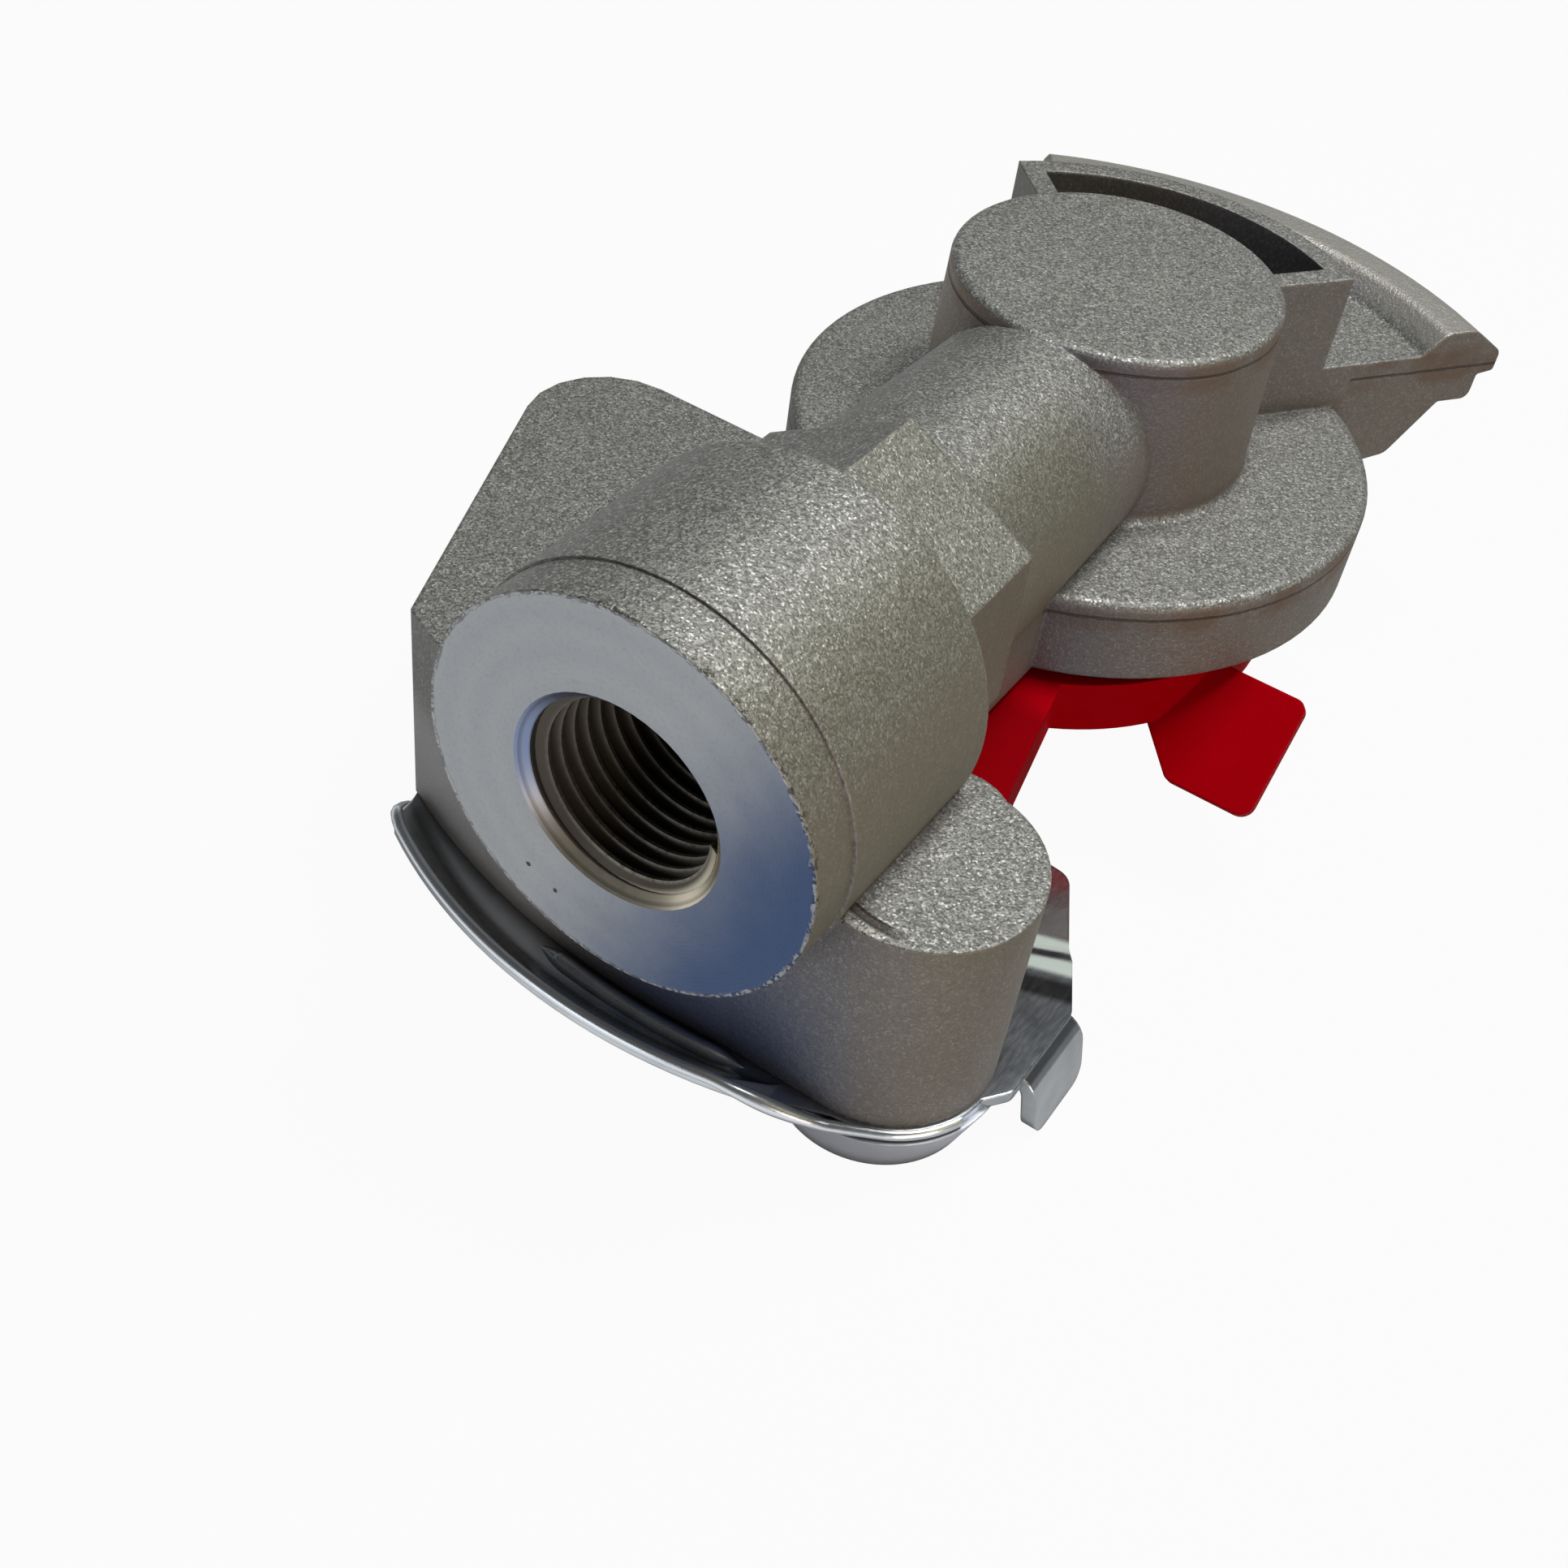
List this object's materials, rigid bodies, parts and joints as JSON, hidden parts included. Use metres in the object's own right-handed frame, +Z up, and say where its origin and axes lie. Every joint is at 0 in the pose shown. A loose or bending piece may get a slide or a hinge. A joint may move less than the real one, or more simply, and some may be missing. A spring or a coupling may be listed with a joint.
{
  "type": "air brake coupling head",
  "caption": "Die-cast palm coupling head for a trailer air brake line, with a threaded port, hooked claw, steel guide plate and a red swivelling dust cover.",
  "frame": {"origin": "on the axis of the port thread, at its first full thread 0.8 mm inside the machined port face", "axes": "-Y out of the port along the thread axis, +Z up parallel to the turret axis and away from the coupling face, +X to the right as seen from the port"},
  "size_m": [0.0715, 0.1174, 0.0481],
  "materials": {
    "casting": "shot-blasted die casting with a machined port face",
    "seal_rubber": "moulded black rubber",
    "plated_steel": "bright zinc-plated sheet",
    "red_plastic": "moulded satin red plastic"
  },
  "bodies": {
    "head": {"body": "casting", "face_seal": "seal_rubber", "guide_plate": "plated_steel", "plate_rivets": "plated_steel", "pivot_pin": "plated_steel", "pivot_washer": "plated_steel"},
    "cover": {"dust_cover": "red_plastic"}
  },
  "joints": [
    {"name": "cover_swing", "type": "hinge", "parent": "head", "child": "cover", "pos_m": [0.0144, 0.0231, -0.0162], "axis": [0, 0, -1], "range_deg": [0, 95]}
  ]
}
